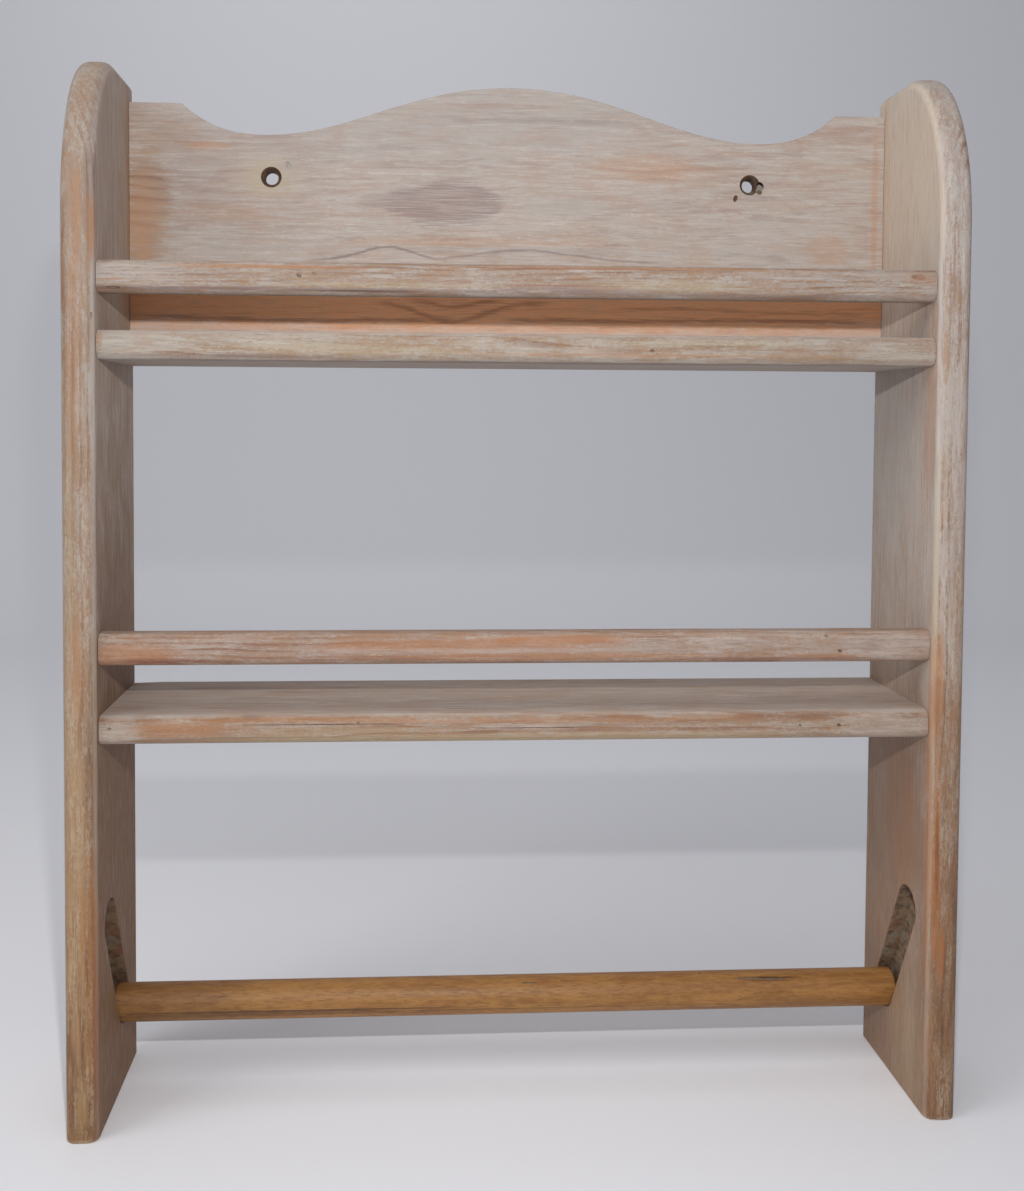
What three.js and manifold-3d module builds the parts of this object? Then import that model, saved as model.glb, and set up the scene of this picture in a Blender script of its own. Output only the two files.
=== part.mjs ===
// Wall rack for kitchen jars: two side panels, two shelves, two guard rails, a shaped back
// board and a loose kitchen-roll bar that rides in a slanted slot in each side panel.
// Millimetres, +Z up. The front is -Y, the wall is +Y, and the origin is on the floor plane
// under the middle of the rack.
import * as THREE from "three";
import { mergeVertices } from "three/addons/utils/BufferGeometryUtils.js";
import Module from "manifold-3d";

const wasm = await Module();
wasm.setup();

// Overall size
const rackWidth = 500;
const rackDepth = 95;
const rackHeight = 600;

// Boards
const panelThickness = 18;
const shelfThickness = 16;
const backBoardThickness = 9;
const railHeight = 18;
const railThickness = 15;
const frontSetback = 6.5;
const gap = 0.3;

// Heights of the upper faces of the shelves and of the lower faces of the rails
const topShelfTop = 445;
const lowerShelfTop = 234;
const topRailBottom = 465;
const lowerRailBottom = 261.5;

// Side panel outline
const archDepth = 55;
const archHeight = 95;
const panelRoundover = 6;
const panelRearCorner = 4;
const boardRoundover = 5;

// Back board outline, as half of a symmetrical shape
const shoulderHeight = 587;
const shoulderInnerX = 201;
const dipHeight = 569;
const dipX = 152;

// Wall-fixing screw holes
const screwHoleX = 147;
const screwHoleHeight = 543.5;
const screwHoleRadius = 4;
const countersinkRadius = 6.25;
const countersinkDepth = 3.5;

// Kitchen-roll bar and its slots, distances measured back from the front of the panels
const barRadius = 11;
const barLength = 472;
const barChamfer = 1.2;
const slotRadius = 12.25;
const slotDepth = 9.5;
const slotLower = { fromFront: 63, height: 49 };
const slotUpper = { fromFront: 31.5, height: 111 };

// Dowel pins: radius, length, and how much of the length sits in the side panel
const shelfPin = { radius: 4, length: 30, inPanel: 10 };
const railPin = { radius: 3, length: 30, inPanel: 10 };
const backBoardPin = { radius: 2.5, length: 25, inPanel: 10 };
const pinChamfer = 0.8;
const pinEndRoom = 1;

// Segment counts
const curveSteps = 12;
const roundoverSteps = 4;
const pinSides = 16;
const barSides = 40;
const cutterOverlap = 2;

const innerFace = rackWidth / 2 - panelThickness;
const boardHalfLength = innerFace - gap;
const sides = { left: -1, right: 1 };
const fromFront = (distance) => distance - rackDepth / 2;

const limedPine = { color: 0xb9a08c, roughness: 0.8, metalness: 0 };
const limedPineGrey = { color: 0xa8968c, roughness: 0.8, metalness: 0 };
const bareHardwood = { color: 0xa97b45, roughness: 0.6, metalness: 0 };
const beech = { color: 0xd2b083, roughness: 0.7, metalness: 0 };

// Closed meshes to solids and back

function toSolid(geometry) {
  const bare = geometry.clone();
  bare.deleteAttribute("normal");
  bare.deleteAttribute("uv");
  const merged = mergeVertices(bare);
  const corners = merged.index.array;
  const triangles = [];
  for (let i = 0; i < corners.length; i += 3) {
    const [a, b, c] = [corners[i], corners[i + 1], corners[i + 2]];
    if (a !== b && b !== c && c !== a) {
      triangles.push(a, b, c);
    }
  }
  return new wasm.Manifold(
    new wasm.Mesh({
      numProp: 3,
      vertProperties: new Float32Array(merged.attributes.position.array),
      triVerts: new Uint32Array(triangles),
    }),
  );
}

function toGeometry(solid) {
  const { vertProperties, triVerts } = solid.getMesh();
  const geometry = new THREE.BufferGeometry();
  geometry.setAttribute("position", new THREE.BufferAttribute(vertProperties, 3));
  geometry.setIndex(new THREE.BufferAttribute(triVerts, 1));
  geometry.computeVertexNormals();
  return geometry;
}

function cutAll(solid, cutters) {
  return cutters.reduce((left, cutter) => left.subtract(toSolid(cutter)), solid);
}

function namedMesh(name, geometry, finish) {
  const mesh = new THREE.Mesh(geometry, new THREE.MeshStandardMaterial(finish));
  mesh.name = name;
  return mesh;
}

// Shapes drawn in the Y-Z plane and extruded along X

function alongX(shape, length, options = {}) {
  const bevel = options.bevelEnabled ? options.bevelThickness : 0;
  const geometry = new THREE.ExtrudeGeometry(shape, {
    bevelEnabled: false,
    curveSegments: curveSteps,
    ...options,
    depth: length - 2 * bevel,
  });
  geometry.translate(0, 0, bevel - length / 2);
  const yzPlane = new THREE.Matrix4().makeBasis(
    new THREE.Vector3(0, 1, 0),
    new THREE.Vector3(0, 0, 1),
    new THREE.Vector3(1, 0, 0),
  );
  return geometry.applyMatrix4(yzPlane);
}

function roundedRectangle(front, rear, bottom, top, frontRadius, rearRadius) {
  const shape = new THREE.Shape();
  shape.moveTo(front + frontRadius, bottom);
  shape.lineTo(rear - rearRadius, bottom);
  if (rearRadius > 0) {
    shape.absarc(rear - rearRadius, bottom + rearRadius, rearRadius, -Math.PI / 2, 0);
  }
  shape.lineTo(rear, top - rearRadius);
  if (rearRadius > 0) {
    shape.absarc(rear - rearRadius, top - rearRadius, rearRadius, 0, Math.PI / 2);
  }
  shape.lineTo(front + frontRadius, top);
  shape.absarc(front + frontRadius, top - frontRadius, frontRadius, Math.PI / 2, Math.PI);
  shape.absarc(front + frontRadius, bottom + frontRadius, frontRadius, Math.PI, Math.PI * 1.5);
  return shape;
}

function slotShape() {
  const low = new THREE.Vector2(fromFront(slotLower.fromFront), slotLower.height);
  const high = new THREE.Vector2(fromFront(slotUpper.fromFront), slotUpper.height);
  const along = high.clone().sub(low).angle();
  const shape = new THREE.Shape();
  shape.absarc(high.x, high.y, slotRadius, along - Math.PI / 2, along + Math.PI / 2);
  shape.absarc(low.x, low.y, slotRadius, along + Math.PI / 2, along + Math.PI * 1.5);
  shape.closePath();
  return shape;
}

// Dowel pins and the blind bores that hold them

const pinsOf = (sort, fromFrontList, heightList, spec) =>
  heightList.flatMap((height, row) =>
    fromFrontList.map((distance, column) => ({
      sort,
      number: row * fromFrontList.length + column + 1,
      y: fromFront(distance),
      z: height,
      ...spec,
    })),
  );

const shelfPinPlaces = [26, 72];
const backBoardPinHeights = [480, 560];
const middleOfShelf = (top) => top - shelfThickness / 2;
const middleOfRail = (bottom) => bottom + railHeight / 2;
const railCentre = frontSetback + railThickness / 2;
const backBoardCentre = rackDepth - backBoardThickness / 2;
const pins = {
  top_shelf: pinsOf("top_shelf_pin", shelfPinPlaces, [middleOfShelf(topShelfTop)], shelfPin),
  lower_shelf: pinsOf("lower_shelf_pin", shelfPinPlaces, [middleOfShelf(lowerShelfTop)], shelfPin),
  top_guard_rail: pinsOf("top_rail_pin", [railCentre], [middleOfRail(topRailBottom)], railPin),
  lower_guard_rail: pinsOf("lower_rail_pin", [railCentre], [middleOfRail(lowerRailBottom)], railPin),
  back_board: pinsOf("back_board_pin", [backBoardCentre], backBoardPinHeights, backBoardPin),
};

function cylinderAlongX(radius, length, centreX, y, z) {
  const geometry = new THREE.CylinderGeometry(radius, radius, length, pinSides);
  geometry.rotateZ(-Math.PI / 2);
  geometry.translate(centreX, y, z);
  return geometry;
}

function boreInPanel(pin, side) {
  const depth = pin.inPanel + pinEndRoom;
  const length = depth + cutterOverlap;
  const centre = innerFace + depth - length / 2;
  return cylinderAlongX(pin.radius + gap, length, side * centre, pin.y, pin.z);
}

function boreInBoard(pin, side) {
  const depth = pin.length - pin.inPanel + pinEndRoom;
  const length = depth + cutterOverlap;
  const centre = innerFace - depth + length / 2;
  return cylinderAlongX(pin.radius + gap, length, side * centre, pin.y, pin.z);
}

function turned(radius, length, chamfer, segments) {
  const profile = [
    new THREE.Vector2(0, -length / 2),
    new THREE.Vector2(radius - chamfer, -length / 2),
    new THREE.Vector2(radius, chamfer - length / 2),
    new THREE.Vector2(radius, length / 2 - chamfer),
    new THREE.Vector2(radius - chamfer, length / 2),
    new THREE.Vector2(0, length / 2),
  ];
  const geometry = toGeometry(toSolid(new THREE.LatheGeometry(profile, segments)));
  return geometry.rotateZ(-Math.PI / 2);
}

function dowelPin(pin, sideName) {
  const side = sides[sideName];
  const name = `${pin.sort}_${sideName}_${pin.number}`;
  const mesh = namedMesh(name, turned(pin.radius, pin.length, pinChamfer, pinSides), beech);
  mesh.position.set(side * (innerFace + pin.inPanel - pin.length / 2), pin.y, pin.z);
  return mesh;
}

// The boards

function panelOutline(beyond) {
  const front = fromFront(0);
  const archStart = rackHeight - archHeight;
  const shape = new THREE.Shape();
  shape.moveTo(front, -beyond);
  shape.lineTo(fromFront(rackDepth) + beyond, -beyond);
  shape.lineTo(fromFront(rackDepth) + beyond, rackHeight);
  shape.lineTo(front + archDepth, rackHeight);
  shape.absellipse(front + archDepth, archStart, archDepth, archHeight, Math.PI / 2, Math.PI);
  shape.closePath();
  return shape;
}

function panelLimits(beyond) {
  const rear = fromFront(rackDepth);
  const shape = new THREE.Shape();
  shape.moveTo(fromFront(0) - beyond, 0);
  shape.lineTo(rear, 0);
  const radius = panelRearCorner;
  shape.absarc(rear - radius, rackHeight - radius, radius, 0, Math.PI / 2);
  shape.lineTo(fromFront(0) - beyond, rackHeight);
  shape.closePath();
  return shape;
}

// The front edge and the top are rounded over on both faces; the rear and the foot are square.
function sidePanel(sideName) {
  const side = sides[sideName];
  const beyond = 3 * panelRoundover;
  const rounded = alongX(panelOutline(beyond), panelThickness, {
    bevelEnabled: true,
    bevelThickness: panelRoundover,
    bevelSize: panelRoundover,
    bevelOffset: -panelRoundover,
    bevelSegments: roundoverSteps,
  });
  const limits = alongX(panelLimits(beyond), panelThickness + beyond);
  const centre = side * (innerFace + panelThickness / 2);
  const board = toSolid(rounded).intersect(toSolid(limits)).translate([centre, 0, 0]);
  const slot = alongX(slotShape(), slotDepth + cutterOverlap);
  slot.translate(side * (innerFace + (slotDepth - cutterOverlap) / 2), 0, 0);
  const bores = Object.values(pins)
    .flat()
    .map((pin) => boreInPanel(pin, side));
  const finish = sideName === "left" ? limedPineGrey : limedPine;
  const panel = cutAll(board, [slot, ...bores]);
  return namedMesh(`${sideName}_side_panel`, toGeometry(panel), finish);
}

function endBores(name) {
  return pins[name].flatMap((pin) => Object.values(sides).map((side) => boreInBoard(pin, side)));
}

// A shelf or rail: a moulded section between the panels, bored for pins at both ends.
function crossBoard(name, section) {
  const board = toSolid(alongX(section, 2 * boardHalfLength));
  const bores = endBores(name);
  return namedMesh(name, toGeometry(cutAll(board, bores)), limedPine);
}

function shelf(name, top) {
  const front = fromFront(frontSetback);
  const rear = fromFront(rackDepth);
  return crossBoard(name, roundedRectangle(front, rear, top - shelfThickness, top, boardRoundover, 0));
}

function guardRail(name, bottom) {
  const front = fromFront(frontSetback);
  const rear = front + railThickness;
  const top = bottom + railHeight;
  return crossBoard(name, roundedRectangle(front, rear, bottom, top, boardRoundover, boardRoundover));
}

// Half of the top edge runs from the crown down to the dip and up to the flat shoulder.
function backBoardOutline() {
  const bottom = topShelfTop + gap;
  const crownEase = 65;
  const dipEase = 98;
  const riseEase = 172;
  const riseTop = { x: 186, z: 574 };
  const shape = new THREE.Shape();
  shape.moveTo(-boardHalfLength, bottom);
  shape.lineTo(boardHalfLength, bottom);
  shape.lineTo(boardHalfLength, shoulderHeight);
  shape.lineTo(shoulderInnerX, shoulderHeight);
  shape.bezierCurveTo(riseTop.x, riseTop.z, riseEase, dipHeight, dipX, dipHeight);
  shape.bezierCurveTo(dipEase, dipHeight, crownEase, rackHeight, 0, rackHeight);
  shape.bezierCurveTo(-crownEase, rackHeight, -dipEase, dipHeight, -dipX, dipHeight);
  shape.bezierCurveTo(-riseEase, dipHeight, -riseTop.x, riseTop.z, -shoulderInnerX, shoulderHeight);
  shape.lineTo(-boardHalfLength, shoulderHeight);
  shape.closePath();
  return shape;
}

function screwHole(side) {
  const frontFace = fromFront(rackDepth - backBoardThickness);
  const flare = (countersinkRadius - screwHoleRadius) / countersinkDepth;
  const profile = [
    new THREE.Vector2(0, -cutterOverlap),
    new THREE.Vector2(countersinkRadius + flare * cutterOverlap, -cutterOverlap),
    new THREE.Vector2(screwHoleRadius, countersinkDepth),
    new THREE.Vector2(screwHoleRadius, backBoardThickness + cutterOverlap),
    new THREE.Vector2(0, backBoardThickness + cutterOverlap),
  ];
  const geometry = new THREE.LatheGeometry(profile, 2 * pinSides);
  return geometry.translate(side * screwHoleX, frontFace, screwHoleHeight);
}

function backBoard() {
  const geometry = new THREE.ExtrudeGeometry(backBoardOutline(), {
    bevelEnabled: false,
    curveSegments: curveSteps,
    depth: backBoardThickness,
  });
  geometry.rotateX(Math.PI / 2);
  geometry.translate(0, fromFront(rackDepth), 0);
  const holes = Object.values(sides).map((side) => screwHole(side));
  const board = cutAll(toSolid(geometry), [...endBores("back_board"), ...holes]);
  return namedMesh("back_board", toGeometry(board), limedPine);
}

// The bar lies on the lowest point of the slots' round lower ends.
function kitchenRollBar() {
  const bar = turned(barRadius, barLength, barChamfer, barSides);
  const mesh = namedMesh("kitchen_roll_bar", bar, bareHardwood);
  const drop = slotRadius - barRadius - gap;
  mesh.position.set(0, fromFront(slotLower.fromFront), slotLower.height - drop);
  return mesh;
}

const rack = new THREE.Group();
for (const sideName of Object.keys(sides)) {
  rack.add(sidePanel(sideName));
  for (const pin of Object.values(pins).flat()) {
    rack.add(dowelPin(pin, sideName));
  }
}
rack.add(shelf("top_shelf", topShelfTop));
rack.add(shelf("lower_shelf", lowerShelfTop));
rack.add(guardRail("top_guard_rail", topRailBottom));
rack.add(guardRail("lower_guard_rail", lowerRailBottom));
rack.add(backBoard());
rack.add(kitchenRollBar());

export default rack;
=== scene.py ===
import math
import bmesh
import bpy
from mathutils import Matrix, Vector


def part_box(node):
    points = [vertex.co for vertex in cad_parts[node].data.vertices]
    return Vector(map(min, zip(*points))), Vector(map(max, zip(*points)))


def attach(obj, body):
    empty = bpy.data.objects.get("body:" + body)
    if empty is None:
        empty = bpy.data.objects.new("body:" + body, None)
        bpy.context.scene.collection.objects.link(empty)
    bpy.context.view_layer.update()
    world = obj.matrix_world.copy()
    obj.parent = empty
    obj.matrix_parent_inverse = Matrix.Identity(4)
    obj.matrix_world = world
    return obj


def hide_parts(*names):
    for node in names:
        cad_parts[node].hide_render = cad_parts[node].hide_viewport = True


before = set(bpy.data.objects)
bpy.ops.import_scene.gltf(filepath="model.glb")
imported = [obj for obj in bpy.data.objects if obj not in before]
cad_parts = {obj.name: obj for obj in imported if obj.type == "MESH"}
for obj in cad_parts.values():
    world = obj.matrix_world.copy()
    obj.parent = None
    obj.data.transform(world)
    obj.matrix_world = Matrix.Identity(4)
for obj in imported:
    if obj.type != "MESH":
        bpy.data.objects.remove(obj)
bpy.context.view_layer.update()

rackBody = "rack"
barBody = "roll_bar"
print("frame loaded")


# Selecting and shaping

def makeActive(piece):
    if bpy.context.mode != "OBJECT":
        bpy.ops.object.mode_set(mode="OBJECT")
    bpy.ops.object.select_all(action="DESELECT")
    if piece:
        piece.select_set(True)
        bpy.context.view_layer.objects.active = piece


def keepPlaceInMesh(piece):
    makeActive(piece)
    bpy.ops.object.transform_apply(location=True, rotation=True, scale=True)


def addBlock(name, low, high):
    makeActive(None)
    low, high = Vector(low), Vector(high)
    bpy.ops.mesh.primitive_cube_add(size=1, location=(low + high) / 2)
    block = bpy.context.object
    block.name = name
    block.scale = high - low
    keepPlaceInMesh(block)
    return block


def addRod(name, radius, start, end, sides, endRadius=None):
    # a round bar, or a cone where the end radius differs
    makeActive(None)
    start, end = Vector(start), Vector(end)
    along = end - start
    bpy.ops.mesh.primitive_cone_add(
        vertices=sides, radius1=radius, radius2=radius if endRadius is None else endRadius,
        depth=along.length, location=(start + end) / 2, rotation=along.to_track_quat("Z", "Y").to_euler())
    rod = bpy.context.object
    rod.name = name
    keepPlaceInMesh(rod)
    return rod


def addPebble(name, centre, size, turn=(0, 0, 0)):
    makeActive(None)
    bpy.ops.mesh.primitive_ico_sphere_add(subdivisions=3, radius=1, location=centre, rotation=turn)
    pebble = bpy.context.object
    pebble.name = name
    pebble.scale = size
    keepPlaceInMesh(pebble)
    return pebble


def pick(piece, kind, wanted):
    # edit mode with only the wanted points, edges or faces selected
    makeActive(piece)
    bpy.ops.object.mode_set(mode="EDIT")
    bpy.ops.mesh.select_mode(type=kind)
    bpy.ops.mesh.select_all(action="DESELECT")
    shape = bmesh.from_edit_mesh(piece.data)
    parts = {"VERT": shape.verts, "EDGE": shape.edges, "FACE": shape.faces}[kind]
    for part in parts:
        if wanted(part):
            part.select_set(True)
    bmesh.update_edit_mesh(piece.data)


def leaveEdit():
    bpy.ops.object.mode_set(mode="OBJECT")


def roundEdges(piece, wanted, radius, steps):
    pick(piece, "EDGE", wanted)
    bpy.ops.mesh.bevel(offset=radius, segments=steps, profile=0.5, affect="EDGES", clamp_overlap=False)
    leaveEdit()


def cutAway(piece, cutters, keepFinish=False):
    # the cut faces take the cutter's finish
    for cutter in cutters:
        if piece.data.materials:
            worn = keepFinish or cutter.name.startswith("knock")
            paintPiece(cutter, piece.data.materials[0] if worn else cutFinish)
        makeActive(piece)
        cut = piece.modifiers.new("cut", "BOOLEAN")
        cut.operation = "DIFFERENCE"
        cut.solver = "EXACT"
        cut.material_mode = "TRANSFER"
        cut.object = cutter
        bpy.ops.object.modifier_apply(modifier=cut.name)
        bpy.data.objects.remove(cutter)


def finishShape(piece, sharpAbove=32):
    makeActive(piece)
    bpy.ops.object.mode_set(mode="EDIT")
    bpy.ops.mesh.select_all(action="SELECT")
    bpy.ops.mesh.remove_doubles(threshold=0.000002)
    bpy.ops.mesh.normals_make_consistent(inside=False)
    leaveEdit()
    bpy.ops.object.shade_smooth_by_angle(angle=math.radians(sharpAbove))
    even = piece.modifiers.new("evenShading", "WEIGHTED_NORMAL")
    even.keep_sharp = True
    bpy.ops.object.modifier_apply(modifier=even.name)


def same(a, b, room=0.00001):
    return abs(a - b) < room


def runsAlong(edge, axis):
    way = (edge.verts[1].co - edge.verts[0].co).normalized()
    return abs(way[axis]) > 0.999


def middle(edge):
    return (edge.verts[0].co + edge.verts[1].co) / 2


def facing(edge, direction):
    return any(face.normal.dot(Vector(direction)) > 0.99 for face in edge.link_faces)


def setOnBody(piece, body, slot, *nodes):
    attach(piece, body)
    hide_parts(*nodes)


# Bores for the dowel pins

boreFit = {"sideRoom": 0.0003, "endRoom": 0.001, "sides": 32}
pinNodes = sorted(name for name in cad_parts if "_pin_" in name)


def boresFor(words, inSide):
    cutters = []
    for node in pinNodes:
        if not any(word in node for word in words):
            continue
        low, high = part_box(node)
        if inSide and (low.x > 0) != (inSide == "right"):
            continue
        centre = (low + high) / 2
        radius = (high.z - low.z) / 2 + boreFit["sideRoom"]
        start = (low.x - boreFit["endRoom"], centre.y, centre.z)
        end = (high.x + boreFit["endRoom"], centre.y, centre.z)
        cutters.append(addRod("bore", radius, start, end, boreFit["sides"]))
    return cutters


# Material nodes

def startFinish(name):
    finish = bpy.data.materials.new(name)
    finish.use_nodes = True
    return finish, finish.node_tree


def addNode(tree, kind, inputs, **settings):
    made = tree.nodes.new(kind)
    for key, value in settings.items():
        setattr(made, key, value)
    for key, value in inputs.items():
        if isinstance(value, bpy.types.NodeSocket):
            tree.links.new(value, made.inputs[key])
        else:
            made.inputs[key].default_value = value
    return made


def calc(tree, operation, *values):
    return addNode(tree, "ShaderNodeMath", dict(enumerate(values)), operation=operation).outputs[0]


def total(tree, first, *others):
    for other in others:
        first = calc(tree, "ADD", first, other)
    return first


def times(tree, value, amount):
    return calc(tree, "MULTIPLY", value, amount)


def swing(tree, value, amount):
    # a 0 to 1 pattern becomes a push of up to half the amount either way
    return calc(tree, "MULTIPLY_ADD", value, amount, -amount / 2)


def smooth(tree, value, low, high):
    return addNode(
        tree, "ShaderNodeMapRange", {0: value, 1: low, 2: high}, interpolation_type="SMOOTHSTEP").outputs[0]


def inverse(tree, value):
    return calc(tree, "SUBTRACT", 1.0, value)


def blend(tree, amount, under, over, mode="MIX"):
    return addNode(
        tree, "ShaderNodeMix", {0: amount, 6: under, 7: over}, data_type="RGBA", blend_type=mode).outputs[2]


def streaks(tree, grain, along, across, seed, detail=2.0, rough=0.55, twist=0.0):
    # noise drawn out along the grain; along and across are its sizes in metres
    stretched = addNode(tree, "ShaderNodeMapping", {
        "Vector": grain, "Location": (seed, seed * 1.7, seed * 0.6),
        "Scale": (1 / along, 1 / across, 1 / across)})
    return addNode(tree, "ShaderNodeTexNoise", {
        "Vector": stretched.outputs[0], "Scale": 1.0, "Detail": detail, "Roughness": rough,
        "Distortion": twist}).outputs[0]


def spotMask(tree, place, centre, size, ragged):
    # 1 inside an oval of the given half sizes, fading out at a ragged rim
    moved = addNode(tree, "ShaderNodeVectorMath", {0: place, 1: centre}, operation="SUBTRACT")
    scaled = addNode(tree, "ShaderNodeVectorMath", {0: moved.outputs[0], 1: size}, operation="DIVIDE")
    reach = addNode(tree, "ShaderNodeVectorMath", {0: scaled.outputs[0]}, operation="LENGTH").outputs["Value"]
    return inverse(tree, smooth(tree, total(tree, reach, ragged), 0.45, 1.25))


# Limed pine

pineColours = {
    "early": (0.4, 0.27, 0.18, 1), "late": (0.28, 0.15, 0.09, 1), "tan": (0.43, 0.27, 0.16, 1),
    "aged": (0.19, 0.115, 0.075, 1), "lime": (0.455, 0.405, 0.365, 1), "pale": (0.58, 0.545, 0.515, 1),
    "pink": (0.44, 0.33, 0.27, 1), "orange": (0.48, 0.225, 0.095, 1), "red": (0.27, 0.115, 0.08, 1),
    "mauve": (0.27, 0.205, 0.195, 1), "brown": (0.12, 0.066, 0.044, 1), "yellow": (0.5, 0.41, 0.275, 1),
    "grey": (0.35, 0.335, 0.325, 1), "plum": (0.17, 0.12, 0.115, 1), "rust": (0.2, 0.085, 0.045, 1),
    # the amber colour is bare orange wood made brighter as painted light: the warm bounce in the top rail's
    # shadow on the back board
    "amberPaintedLight": (0.78, 0.35, 0.155, 1), "cream": (0.62, 0.52, 0.415, 1),
}

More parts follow.
